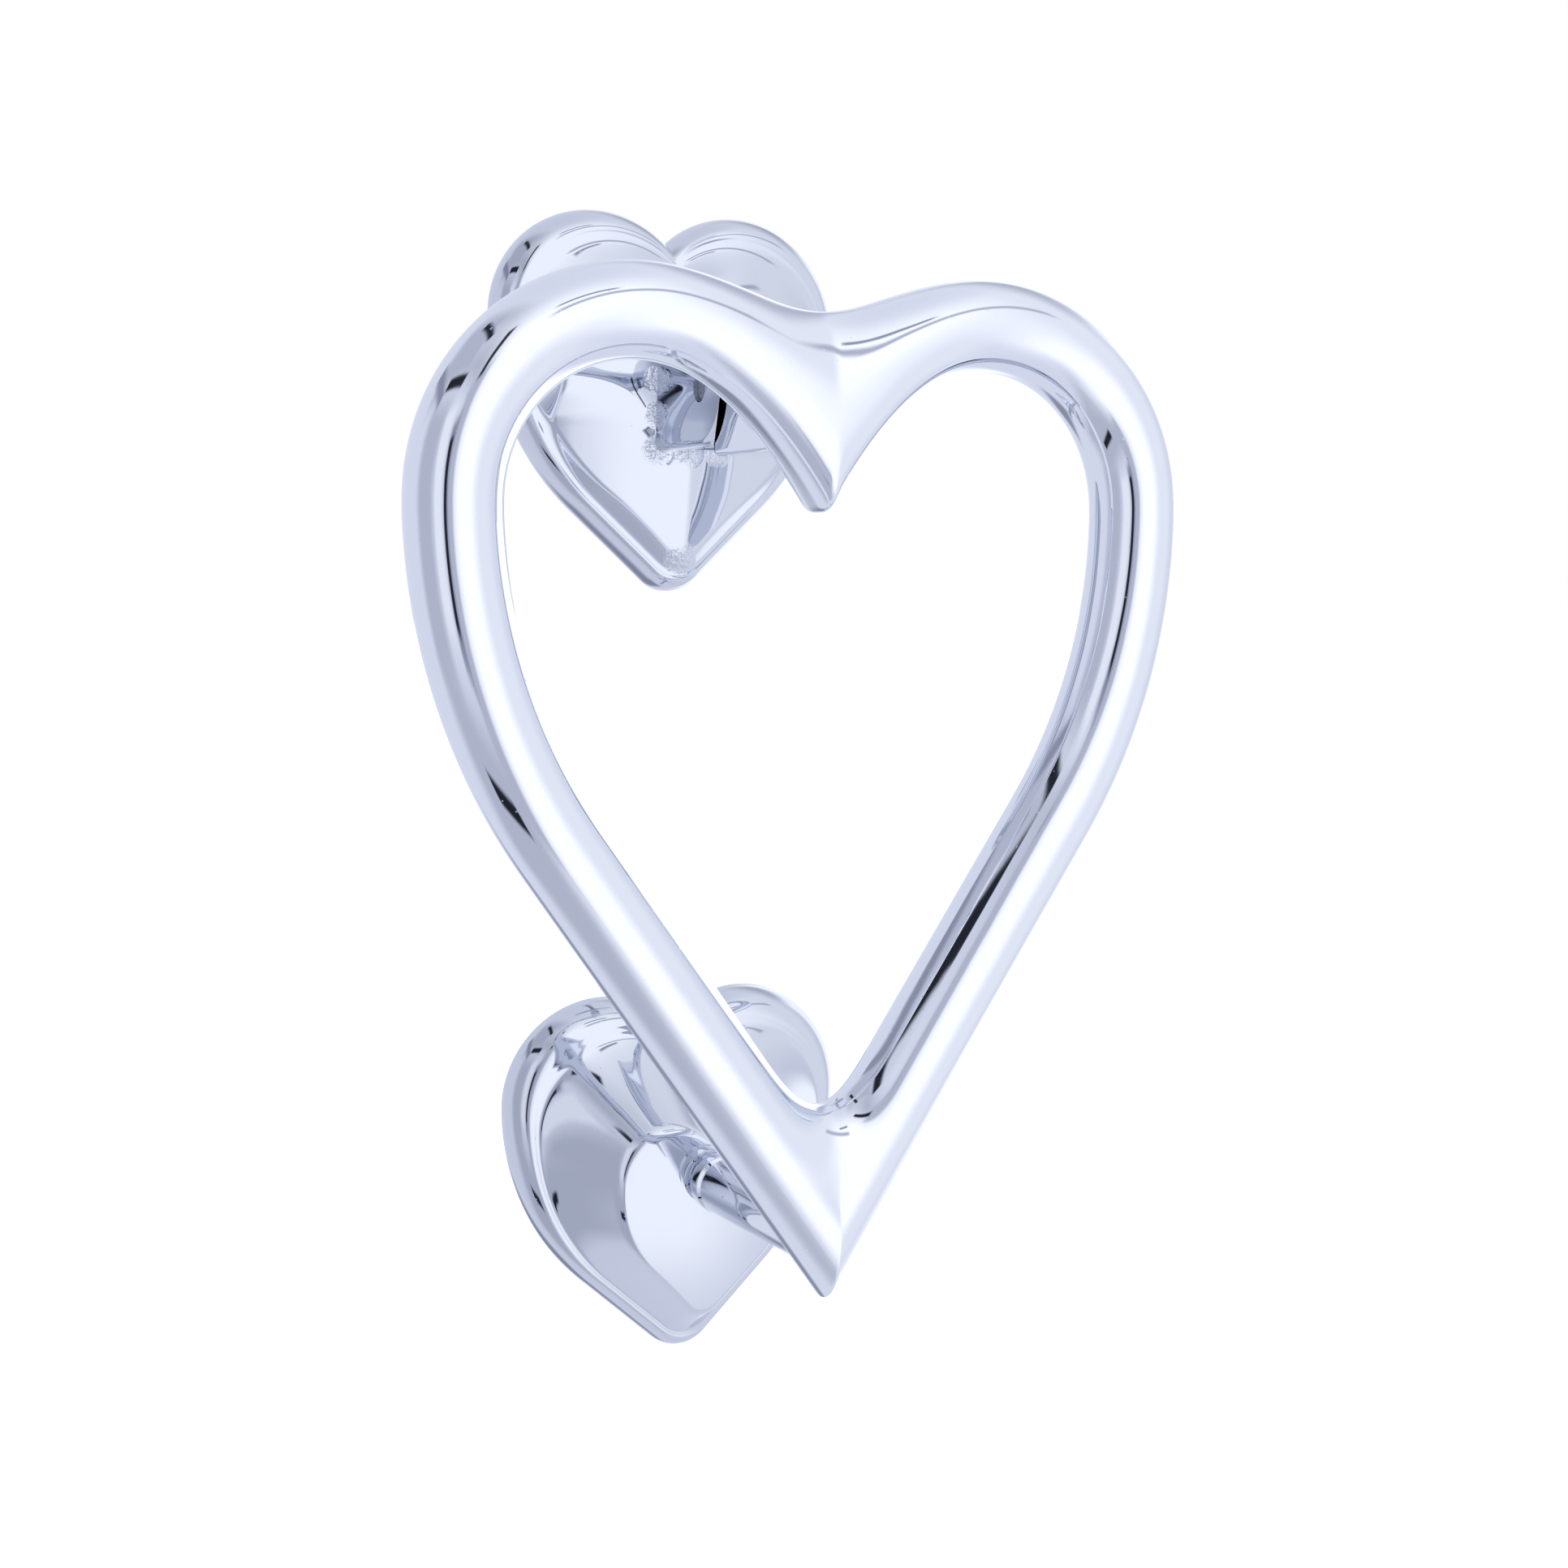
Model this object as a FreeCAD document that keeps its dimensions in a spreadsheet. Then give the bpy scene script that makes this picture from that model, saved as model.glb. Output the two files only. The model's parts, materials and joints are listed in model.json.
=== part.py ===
import FreeCAD, Part

# Heart door knocker: two heart-shaped bases bolted through a door, and a heart-shaped ring that
# swings on a hinge pin in the upper base and strikes the lower base with a stud.
# Frame: +Z up, +Y into the door, the door's face at Y = 0, the origin on the upper fixing axis.

import math
import os

import Sketcher

Vector = FreeCAD.Vector
Rotation = FreeCAD.Rotation

doc = FreeCAD.newDocument("door_knocker")
sheet = doc.addObject("Spreadsheet::Sheet", "dim")

# Driving dimensions in millimetres, one alias each.
SIZES = {
    # heart outline of both bases, measured from the fixing axis
    "heart_lobe_x": 11.1,
    "heart_lobe_z": 11.0,
    "heart_lobe_r": 15.7,
    "heart_side_r": 37.0,
    "heart_tip_z": -28.0,
    "heart_tip_r": 5.5,
    "base_thick": 5.4,
    "base_rim_r": 2.0,
    "base_pitch": 115.0,
    # raised boss: its foot and top are the same heart drawn smaller about a point on the axis
    "boss_centre_z": -7.2,
    "upper_foot_scale": 0.884,
    "upper_top_scale": 0.62,
    "upper_crown": 10.6,
    "upper_crown_z": 0.0,
    "lower_foot_scale": 0.86,
    "lower_top_scale": 0.49,
    "lower_crown": 17.1,
    "lower_crown_z": 8.0,
    "dome_r": 85.0,
    # hinge: a fork on the upper base, a tongue on the ring, a pin through both
    "hinge_reach": 25.0,
    "fork_width": 10.0,
    "fork_end_r": 8.0,
    "fork_slot": 4.4,
    "tongue_side_gap": 0.2,
    "tongue_end_inset": 0.6,
    "slot_floor_gap": 1.0,
    "shoulder_gap": 0.5,
    "shoulder_top": 3.0,
    "shoulder_bottom": 9.5,
    "pin_r": 2.0,
    "press_gap": 0.01,
    "pin_running_gap": 0.05,
    "pin_inset": 0.6,
    # ring centreline and section
    "ring_reach": 51.0,
    "ring_section_r": 6.0,
    "ring_lobe_x": 24.8,
    "ring_lobe_z": -16.8,
    "ring_lobe_r": 23.7,
    "ring_side_r": 74.0,
    "ring_mitre_lift": 4.8,
    "notch_drop": 5.5,
    "beak_drop": 18.6,
    # strike stud, pressed into the ring
    "stud_face_r": 4.3,
    "stud_neck_r": 3.4,
    "stud_chamfer": 0.8,
    "stud_spigot_r": 2.5,
    "stud_spigot_len": 4.0,
    "stud_seat": 4.0,
    "stud_seat_gap": 0.05,
    "strike_lift": 1.5,
    "strike_gap": 0.1,
    # through-door fixings, M6
    "door_thick": 44.0,
    "bolt_r": 3.0,
    "thread_gap": 0.03,
    "bolt_bore_depth": 8.0,
    "bolt_end_gap": 0.5,
    "washer_r": 6.0,
    "washer_bore_gap": 0.2,
    "washer_thick": 1.2,
    "nut_flats": 10.0,
    "nut_hex_len": 5.0,
    "nut_dome_r": 4.7,
    "nut_bore_past_hex": 1.5,
    "end_chamfer": 0.4,
}
for row, (alias, value) in enumerate(SIZES.items(), start=1):
    sheet.set(f"A{row}", alias)
    sheet.set(f"B{row}", str(value))
    sheet.setAlias(f"B{row}", alias)
doc.recompute()

ALONG_X = Rotation(Vector(0, 1, 0), 90)      # turns a primitive's Z axis to +X
ALONG_Y = Rotation(Vector(1, 0, 0), -90)     # turns a primitive's Z axis to +Y
FACING_DOOR = Rotation(Vector(1, 0, 0), 90)  # lays a sketch in the XZ plane, upright
ON_SIDE = Rotation(Vector(0, 1, 0), -90)     # turns a primitive's X axis to +Z
ORIGIN = (-1, 1)                             # a sketch's own origin, as a constraint point
LOWER_Z = "-dim.base_pitch"                  # the lower fixing axis
STRIKE_Z = "dim.strike_lift - dim.base_pitch"  # the strike stud's axis
MITRE_Z = "(dim.ring_mitre_lift - dim.base_pitch)"    # where the ring's two arms meet
RING_BACK_Y = "-dim.ring_reach + dim.ring_section_r"  # the rod's side that faces the door
STUD_SEAT_Y = f"{RING_BACK_Y} - dim.stud_seat"        # the floor of the stud's counterbore


def size(alias):
    """The current value of one cell."""
    return float(sheet.get(alias))


def bind(obj, formulas):
    for prop, formula in formulas.items():
        obj.setExpression(prop, formula)
    return obj


def place(obj, rotation=Rotation(), x="0", y="0", z="0"):
    """Turn an object and bind the three coordinates of its place."""
    obj.Placement = FreeCAD.Placement(Vector(0, 0, 0), rotation)
    return bind(obj, {"Placement.Base.x": x, "Placement.Base.y": y, "Placement.Base.z": z})


def cylinder(name, radius, length, rotation, x="0", y="0", z="0"):
    obj = bind(doc.addObject("Part::Cylinder", name), {"Radius": radius, "Height": length})
    return place(obj, rotation, x, y, z)


def block(name, wide, y_from, y_to, z_from, z_to):
    """A box centred on X = 0 between two depths and two heights."""
    obj = doc.addObject("Part::Box", name)
    bind(obj, {"Length": wide, "Width": f"({y_to}) - ({y_from})", "Height": f"({z_to}) - ({z_from})"})
    return place(obj, Rotation(), f"-({wide}) / 2", y_from, z_from)


def combine(kind, name, *shapes):
    """A fuse or common of several objects."""
    obj = doc.addObject(kind, name)
    obj.Shapes = list(shapes)
    obj.Refine = False
    return obj


def cut(name, base, *tools):
    """The base with the tools taken away. The last cut of a sub-part carries its name."""
    obj = doc.addObject("Part::Cut", name)
    obj.Base = base
    obj.Tool = tools[0] if len(tools) == 1 else combine("Part::MultiFuse", name + "_tools", *tools)
    obj.Refine = False
    return obj


def arc(centre_x, centre_z, radius, start, end):
    circle = Part.Circle(Vector(centre_x, centre_z, 0), Vector(0, 0, 1), radius)
    return Part.ArcOfCircle(circle, start, end)


def value_of(formula):
    """The present value of a formula in the sheet's aliases."""
    value = sheet.evalExpression(formula)
    return float(getattr(value, "Value", value))


def dimension(sketch, kind, places, formula):
    """Add one driving dimension to a sketch and bind it to the sheet."""
    index = sketch.addConstraint(Sketcher.Constraint(kind, *places, value_of(formula)))
    sketch.setExpression(f"Constraints[{index}]", formula)


def heart_sketch(name, reach, scale="1", z="0"):
    """The closed heart outline at a distance in front of the door, at a scale about the boss centre."""
    factor = value_of(scale)
    drop = size("boss_centre_z") * (1 - factor)
    lobe_x, lobe_z = size("heart_lobe_x") * factor, size("heart_lobe_z") * factor + drop
    lobe_r, side_r = size("heart_lobe_r") * factor, size("heart_side_r") * factor
    tip_r = size("heart_tip_r") * factor
    tip_z = size("heart_tip_z") * factor + drop + tip_r
    side_x = lobe_x + lobe_r - side_r

    # The straight side touches the side arc and the tip arc at this angle of their radii.
    span = math.hypot(side_x, lobe_z - tip_z)
    touch = math.atan2(lobe_z - tip_z, side_x) - math.acos((tip_r - side_r) / span)
    normal = Vector(math.cos(touch), math.sin(touch), 0)
    low = Vector(0, tip_z, 0) + normal * tip_r
    high = Vector(side_x, lobe_z, 0) + normal * side_r
    notch = math.acos(-lobe_x / lobe_r)
    half = math.pi

    sketch = place(doc.addObject("Sketcher::SketchObject", name), FACING_DOOR, "0", f"-({reach})", z)
    sketch.addGeometry([
        arc(0, tip_z, tip_r, half - touch, 2 * half + touch),
        Part.LineSegment(low, high),
        arc(side_x, lobe_z, side_r, touch, 0),
        arc(lobe_x, lobe_z, lobe_r, 0, notch),
        arc(-lobe_x, lobe_z, lobe_r, half - notch, half),
        arc(-side_x, lobe_z, side_r, half, half - touch),
        Part.LineSegment(Vector(-high.x, high.y, 0), Vector(-low.x, low.y, 0)),
    ], False)
    tip, line, side, lobe, far_lobe, far_side, far_line = range(7)
    for first, second in ((tip, line), (line, side), (side, lobe),
                          (far_lobe, far_side), (far_side, far_line), (far_line, tip)):
        sketch.addConstraint(Sketcher.Constraint("Tangent", first, 2, second, 1))
    sketch.addConstraint(Sketcher.Constraint("Coincident", lobe, 2, far_lobe, 1))
    sketch.addConstraint(Sketcher.Constraint("PointOnObject", tip, 3, -2))
    radii = ((tip, "tip"), (side, "side"), (far_side, "side"), (lobe, "lobe"), (far_lobe, "lobe"))
    for index, cell in radii:
        dimension(sketch, "Radius", (index,), f"dim.heart_{cell}_r * {scale}")
    lobe_height = f"dim.heart_lobe_z * {scale} + dim.boss_centre_z * (1 - {scale})"
    for index in (side, lobe, far_lobe, far_side):
        dimension(sketch, "DistanceY", (*ORIGIN, index, 3), lobe_height)
    dimension(sketch, "DistanceX", (*ORIGIN, lobe, 3), f"dim.heart_lobe_x * {scale}")
    dimension(sketch, "DistanceX", (far_lobe, 3, *ORIGIN), f"dim.heart_lobe_x * {scale}")
    dimension(sketch, "DistanceY", (tip, 3, *ORIGIN),
              f"-(dim.heart_tip_z + dim.heart_tip_r) * {scale} - dim.boss_centre_z * (1 - {scale})")
    return sketch


def base_body(which, z):
    """A heart plate with a rounded rim and a domed boss, before the hinge and bores."""
    plate = doc.addObject("Part::Extrusion", f"{which}_plate")
    plate.Base = heart_sketch(f"{which}_outline", "0", "1", z)
    plate.Dir = Vector(0, -1, 0)
    plate.Solid = True
    bind(plate, {"LengthFwd": "dim.base_thick"})
    doc.recompute()
    front = [number for number, edge in enumerate(plate.Shape.Edges, start=1)
             if edge.BoundBox.YMax < -0.9 * size("base_thick")]
    rounded = doc.addObject("Part::Fillet", f"{which}_rim")
    rounded.Base = plate
    rounded.Edges = [(number, size("base_rim_r"), size("base_rim_r")) for number in front]

    walls = doc.addObject("Part::Loft", f"{which}_boss_walls")
    walls.Sections = [
        heart_sketch(f"{which}_boss_foot", "dim.base_thick", f"dim.{which}_foot_scale", z),
        heart_sketch(f"{which}_boss_top", f"dim.{which}_crown", f"dim.{which}_top_scale", z),
    ]
    walls.Solid = True
    walls.Ruled = True
    ball = bind(doc.addObject("Part::Sphere", f"{which}_dome"), {"Radius": "dim.dome_r"})
    place(ball, Rotation(), "0", f"dim.dome_r - dim.{which}_crown", f"{z} + dim.{which}_crown_z")
    boss = combine("Part::MultiCommon", f"{which}_boss", walls, ball)
    return combine("Part::MultiFuse", f"{which}_casting", rounded, boss)


def bolt_bore(which, z):
    """The tapped bore in the back of a base."""
    return cylinder(f"{which}_bore", "dim.bolt_r + dim.thread_gap", "dim.bolt_bore_depth", ALONG_Y,
                    "0", "-dim.bolt_bore_depth", z)


def upper_base():
    fork = block("fork_arm", "dim.fork_width", "-dim.hinge_reach", "-dim.base_thick",
                 "-dim.fork_end_r", "dim.fork_end_r")
    fork_end = cylinder("fork_end", "dim.fork_end_r", "dim.fork_width", ALONG_X,
                        "-dim.fork_width / 2", "-dim.hinge_reach")
    slot = block("fork_slot_cut", "dim.fork_slot", "-dim.hinge_reach - 2 * dim.fork_end_r",
                 "-dim.hinge_reach + dim.fork_end_r - dim.tongue_end_inset + dim.slot_floor_gap",
                 "-2 * dim.fork_end_r", "2 * dim.fork_end_r")
    pin_hole = cylinder("fork_pin_hole", "dim.pin_r + dim.press_gap", "2 * dim.fork_width",
                        ALONG_X, "-dim.fork_width", "-dim.hinge_reach")
    body = combine("Part::MultiFuse", "upper_body", base_body("upper", "0"), fork, fork_end)
    return cut("upper_base", body, slot, pin_hole, bolt_bore("upper", "0"))


def lower_base():
    return cut("lower_base", base_body("lower", LOWER_Z), bolt_bore("lower", LOWER_Z))


def ring_section(name, x, sink_top, sink_bottom):
    """An upright oval section whose top and bottom are sunk below the lobe's own section."""
    oval = doc.addObject("Part::Ellipse", name)
    bind(oval, {"MajorRadius": f"dim.ring_section_r + ({sink_bottom} - {sink_top}) / 2",
                "MinorRadius": "dim.ring_section_r"})
    return place(oval, ON_SIDE, x, "-dim.ring_reach",
                 f"dim.ring_lobe_z + dim.ring_lobe_r - ({sink_top} + {sink_bottom}) / 2")


def beak_half():
    """The web between the notch and the beak, from the middle to the top of one lobe."""
    sections = []
    steps = 5
    for step in range(steps + 1):
        along = step / steps
        sink_top = f"dim.notch_drop * {(1 - along) ** 2 * (1 + along):.4f}"
        sink_bottom = f"dim.beak_drop * {(1 - along) ** 2:.4f}"
        sections.append(ring_section(f"web_section_{step}", f"dim.ring_lobe_x * {along}",
                                     sink_top, sink_bottom))
    web = doc.addObject("Part::Loft", "web_half")
    web.Sections = sections
    web.Solid = True
    return web


def bent_rod(name, bend_r, bend_x, angle, rotation):
    """A round rod bent about a centre level with the lobes, swept away from the +X side."""
    rod_piece = doc.addObject("Part::Torus", name)
    bind(rod_piece, {"Radius1": bend_r, "Radius2": "dim.ring_section_r", "Angle3": angle})
    return place(rod_piece, rotation, bend_x, "-dim.ring_reach", "dim.ring_lobe_z")


def arm_half():
    """One arm: the lobe's quarter bend, the long side bend, and a straight run to the mitre."""
    side_x = "(dim.ring_lobe_x + dim.ring_lobe_r - dim.ring_side_r)"
    drop = f"(dim.ring_lobe_z - {MITRE_Z})"
    span = f"sqrt({side_x}^2 + {drop}^2)"
    lean = f"(acos(-dim.ring_side_r / {span}) - atan2({drop}; {side_x}))"
    past = "1.5 * dim.ring_section_r"
    lobe = bent_rod("lobe_bend", "dim.ring_lobe_r", "dim.ring_lobe_x", "90", FACING_DOOR)
    side = bent_rod("side_bend", "dim.ring_side_r", side_x, lean, ALONG_Y)
    run = cylinder("straight_run", "dim.ring_section_r", f"sqrt({span}^2 - dim.ring_side_r^2) + {past}",
                   Rotation(Vector(0, 1, 0), 30), f"-{past} * sin({lean})", "-dim.ring_reach",
                   f"{MITRE_Z} - {past} * cos({lean})")
    bind(run, {"Placement.Rotation.Angle": lean})
    return combine("Part::MultiFuse", "arm_half", lobe, side, run)


def heart_ring():
    keep = doc.addObject("Part::Box", "one_side")
    bind(keep, {"Length": "3 * dim.ring_lobe_x", "Width": "4 * dim.ring_section_r",
                "Height": f"-4 * {MITRE_Z}"})
    place(keep, Rotation(), "0", "-dim.ring_reach - 2 * dim.ring_section_r", f"2 * {MITRE_Z}")
    trimmed = combine("Part::MultiCommon", "arm_trimmed", arm_half(), keep)
    half = combine("Part::MultiFuse", "ring_half", trimmed, beak_half())
    other = doc.addObject("Part::Mirroring", "ring_other_half")
    other.Source = half
    other.Normal = Vector(1, 0, 0)

    tongue_r = "dim.fork_end_r - dim.tongue_end_inset"
    tongue_width = "dim.fork_slot - 2 * dim.tongue_side_gap"
    tongue = block("tongue_arm", tongue_width, "-dim.ring_reach", "-dim.hinge_reach",
                   f"-({tongue_r})", "dim.shoulder_top")
    tongue_end = cylinder("tongue_end", tongue_r, tongue_width, ALONG_X,
                          f"-({tongue_width}) / 2", "-dim.hinge_reach")
    shoulder = cut("shoulder",
                   block("shoulder_block", "dim.fork_width", "-dim.ring_reach",
                         "-dim.hinge_reach - dim.fork_end_r / 2", "-dim.shoulder_bottom",
                         "dim.shoulder_top"),
                   cylinder("shoulder_relief", "dim.fork_end_r + dim.shoulder_gap",
                            "2 * dim.fork_width", ALONG_X, "-dim.fork_width", "-dim.hinge_reach"))
    body = combine("Part::MultiFuse", "ring_body", half, other, tongue, tongue_end, shoulder)
    pin_hole = cylinder("tongue_pin_hole", "dim.pin_r + dim.pin_running_gap", "2 * dim.fork_width",
                        ALONG_X, "-dim.fork_width", "-dim.hinge_reach")
    socket = cylinder("stud_socket", "dim.stud_spigot_r + dim.press_gap",
                      "dim.stud_spigot_len + dim.stud_seat", ALONG_Y, "0",
                      f"{STUD_SEAT_Y} - dim.stud_spigot_len", STRIKE_Z)
    seat = cylinder("stud_seat", "dim.stud_neck_r + dim.stud_seat_gap", "2 * dim.stud_seat", ALONG_Y,
                    "0", STUD_SEAT_Y, STRIKE_Z)
    return cut("heart_ring", body, pin_hole, socket, seat)


def turned(name, corners, rotation, x="0", y="0", z="0"):
    """A turned piece: a closed outline of (radius, height) corners, revolved about its axis."""
    body = doc.addObject("PartDesign::Body", name)
    plane = next(item for item in body.Origin.OriginFeatures if item.Role == "XZ_Plane")
    sketch = body.newObject("Sketcher::SketchObject", f"{name}_profile")
    sketch.AttachmentSupport = (plane, [""])
    sketch.MapMode = "FlatFace"
    points = [Vector(value_of(radius), value_of(height), 0) for radius, height in corners]
    for start, end in zip(points, points[1:] + points[:1]):
        sketch.addGeometry(Part.LineSegment(start, end), False)
    count = len(points)
    for index in range(count):
        sketch.addConstraint(Sketcher.Constraint("Coincident", index, 2, (index + 1) % count, 1))
    for index, (radius, height) in enumerate(corners):
        dimension(sketch, "DistanceX", (*ORIGIN, index, 1), radius)
        dimension(sketch, "DistanceY", (*ORIGIN, index, 1), height)
    spin = body.newObject("PartDesign::Revolution", f"{name}_turning")
    spin.Profile = sketch
    spin.ReferenceAxis = (sketch, ["V_Axis"])
    spin.Angle = 360
    return place(body, rotation, x, y, z)


def rod(name, radius, start, end, chamfer, rotation, **where):
    """A plain rod between two heights with chamfered ends."""
    corners = [("0", start), (f"{radius} - {chamfer}", start), (radius, f"{start} + {chamfer}"),
               (radius, f"{end} - {chamfer}"), (f"{radius} - {chamfer}", end), ("0", end)]
    return turned(name, corners, rotation, **where)


def strike_stud():
    """The stud that knocks: a spigot in the ring, a neck, and a face just off the lower boss."""
    spigot_end = f"{STUD_SEAT_Y} - dim.stud_spigot_len"
    face = "-dim.lower_crown - dim.strike_gap"
    corners = [("0", spigot_end), ("dim.stud_spigot_r", spigot_end),
               ("dim.stud_spigot_r", STUD_SEAT_Y), ("dim.stud_neck_r", STUD_SEAT_Y),
               ("dim.stud_neck_r", RING_BACK_Y),
               ("dim.stud_face_r", f"{face} - dim.stud_chamfer"),
               ("dim.stud_face_r - dim.stud_chamfer", face), ("0", face)]
    return turned("strike_stud", corners, ALONG_Y, z=STRIKE_Z)


def hinge_pin():
    return rod("hinge_pin", "dim.pin_r", "-dim.fork_width / 2 + dim.pin_inset",
               "dim.fork_width / 2 - dim.pin_inset", "dim.end_chamfer", ALONG_X, y="-dim.hinge_reach")


def fixing(which, z):
    """A threaded bolt through the door, its washer and its domed nut on the inside."""
    nut_face = "dim.door_thick + dim.washer_thick"
    bolt = rod(f"{which}_bolt", "dim.bolt_r", "dim.bolt_end_gap - dim.bolt_bore_depth",
               f"{nut_face} + dim.nut_hex_len + dim.nut_bore_past_hex - dim.bolt_end_gap",
               "dim.end_chamfer", ALONG_Y, z=z)
    hole = "dim.bolt_r + dim.washer_bore_gap"
    washer = turned(f"{which}_washer",
                    [(hole, "dim.door_thick"), ("dim.washer_r", "dim.door_thick"),
                     ("dim.washer_r", nut_face), (hole, nut_face)], ALONG_Y, z=z)
    hexagon = doc.addObject("Part::Prism", f"{which}_hexagon")
    hexagon.Polygon = 6
    bind(hexagon, {"Circumradius": "dim.nut_flats / sqrt(3)", "Height": "dim.nut_hex_len"})
    place(hexagon, ALONG_Y, "0", nut_face, z)
    dome = bind(doc.addObject("Part::Sphere", f"{which}_nut_dome"), {"Radius": "dim.nut_dome_r"})
    place(dome, Rotation(), "0", f"{nut_face} + dim.nut_hex_len", z)
    thread = cylinder(f"{which}_nut_bore", "dim.bolt_r + dim.thread_gap",
                      "dim.nut_hex_len + dim.nut_bore_past_hex", ALONG_Y, "0", nut_face, z)
    nut = cut(f"{which}_nut", combine("Part::MultiFuse", f"{which}_nut_body", hexagon, dome), thread)
    return [bolt, washer, nut]


pieces = [upper_base(), lower_base(), heart_ring(), strike_stud(), hinge_pin()]
pieces += fixing("upper", "0")
pieces += fixing("lower", LOWER_Z)
doc.recompute()

failed = [item.Name for item in doc.Objects if "Invalid" in item.State or "Error" in item.State]
if failed:
    raise RuntimeError(f"objects failed to build: {failed}")
for piece in pieces:
    if piece.Shape.isNull() or not piece.Shape.isValid() or not piece.Shape.Solids:
        raise RuntimeError(f"{piece.Label} has no valid solid")

os.makedirs("parts", exist_ok=True)
for piece in pieces:
    piece.Shape.exportStep(f"parts/{piece.Label}.step")
    box = piece.Shape.BoundBox
    print(f"{piece.Label}: {len(piece.Shape.Solids)} solid, {piece.Shape.Volume:.0f} mm3, "
          f"X {box.XMin:.1f}..{box.XMax:.1f}  Y {box.YMin:.1f}..{box.YMax:.1f}  "
          f"Z {box.ZMin:.1f}..{box.ZMax:.1f}")
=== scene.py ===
"""The looks of the heart door knocker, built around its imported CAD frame."""

import json
import math

import bmesh
import bpy
import numpy as np
from mathutils import Matrix, Vector


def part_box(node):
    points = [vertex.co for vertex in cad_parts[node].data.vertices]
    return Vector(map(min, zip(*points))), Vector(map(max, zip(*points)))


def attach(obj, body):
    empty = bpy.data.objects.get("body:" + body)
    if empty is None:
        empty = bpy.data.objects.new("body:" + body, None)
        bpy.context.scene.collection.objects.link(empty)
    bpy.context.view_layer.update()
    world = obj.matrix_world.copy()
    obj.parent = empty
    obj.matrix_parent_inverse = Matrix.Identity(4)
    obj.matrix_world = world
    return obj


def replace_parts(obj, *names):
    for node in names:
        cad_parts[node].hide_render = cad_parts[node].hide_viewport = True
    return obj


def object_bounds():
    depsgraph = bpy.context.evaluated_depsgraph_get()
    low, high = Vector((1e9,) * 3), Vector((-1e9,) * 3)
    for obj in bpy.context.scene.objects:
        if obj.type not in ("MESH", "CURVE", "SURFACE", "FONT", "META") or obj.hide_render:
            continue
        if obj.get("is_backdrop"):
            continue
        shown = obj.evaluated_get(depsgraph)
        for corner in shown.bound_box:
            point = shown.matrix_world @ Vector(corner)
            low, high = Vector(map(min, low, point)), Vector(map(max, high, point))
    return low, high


MM = 0.001                     # the shapes below are worked out in millimetres
WELD, SLIVER = 2e-6, 1e-7      # metres: points closer than this become one, shorter edges go

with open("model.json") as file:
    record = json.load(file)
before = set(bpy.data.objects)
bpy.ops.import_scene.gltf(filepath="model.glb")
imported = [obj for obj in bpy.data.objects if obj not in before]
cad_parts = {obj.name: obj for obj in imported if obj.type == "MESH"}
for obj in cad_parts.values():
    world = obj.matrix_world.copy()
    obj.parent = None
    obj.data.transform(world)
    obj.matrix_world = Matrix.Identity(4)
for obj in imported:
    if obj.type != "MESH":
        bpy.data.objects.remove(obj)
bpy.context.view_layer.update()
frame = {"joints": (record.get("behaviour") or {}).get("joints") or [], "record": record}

# Places and sizes that the frame gives, in millimetres.
mounts = {mount["name"]: mount["pos_m"] for mount in frame["record"]["mounts"]}
LOWER_Z = mounts["lower_back"][2] / MM
HINGE_Y = frame["joints"][0]["pos_m"][1] / MM


def extent(node):
    """The lowest and highest corner of a CAD node, in millimetres."""
    low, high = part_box(node)
    return np.array(low) / MM, np.array(high) / MM


RING_FRONT = extent("heart_ring")[0][1]
PIN_R = (extent("hinge_pin")[1][2] - extent("hinge_pin")[0][2]) / 2
PIN_HALF = extent("hinge_pin")[1][0]
STUD_Z = (extent("strike_stud")[0][2] + extent("strike_stud")[1][2]) / 2
STUD_R = extent("strike_stud")[1][0]
STUD_START, STUD_FACE = extent("strike_stud")[0][1], extent("strike_stud")[1][1]
DOOR_Y = extent("upper_washer")[0][1]
WASHER_R, WASHER_END = extent("upper_washer")[1][2], extent("upper_washer")[1][1]
NUT_HALF_FLATS, NUT_END = extent("upper_nut")[1][2], extent("upper_nut")[1][1]
BOLT_R = extent("upper_bolt")[1][2]
BOLT_START, BOLT_END = extent("upper_bolt")[0][1], extent("upper_bolt")[1][1]

# The castings' sizes, in millimetres, as the CAD model has them.
SECTION_R = 6.0
RING_Y = RING_FRONT + SECTION_R
LOBE_X, LOBE_Z, LOBE_R = 24.8, -16.8, 23.7
SIDE_R = 74.0
MITRE_Z = LOWER_Z + 4.8
HEART = {"lobe_x": 11.1, "lobe_z": 11.0, "lobe_r": 15.7, "side_r": 37.0, "tip_z": -28.0,
         "tip_r": 5.5}
BOSS_CENTRE = np.array([0.0, -7.2])
PLATE = 5.4
DOME_R = 85.0
FORK_HALF, FORK_R, SLOT_HALF = 5.0, 8.0, 2.2
SLOT_FLOOR_Y = -16.6
TONGUE_HALF, TONGUE_R = 2.0, 7.4
RELIEF_R = 8.5
SHOULDER_TOP, SHOULDER_BOTTOM = 3.0, -9.5
BORE_R, BORE_DEPTH = 3.03, 8.0
PRESS_GAP, RUNNING_GAP = 0.01, 0.05      # round the pin, in the fork and in the tongue

# The castings' sizes, in millimetres, that are the visual model's own.
NOTCH_DROP, BEAK_DROP = 6.1, 19.0        # a little more than the CAD's, before their rounding
RIM_DEPTH, RIM_TO_FOOT = 4.7, 0.012      # the pillow-like rim of the plates
BACK_EDGE = 0.3                          # the broken edge round a plate's back and its bore
FORK_ROOT_Y = -6.5                       # where the fork's block starts, inside the boss
RELIEF_BOTTOM = -7.5                     # where the shoulder's hollow round the fork starts
TONGUE_SINK = 0.15                       # how far the tongue's top lies under the shoulder's


# ---------------------------------------------------------------- mesh helpers

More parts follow.
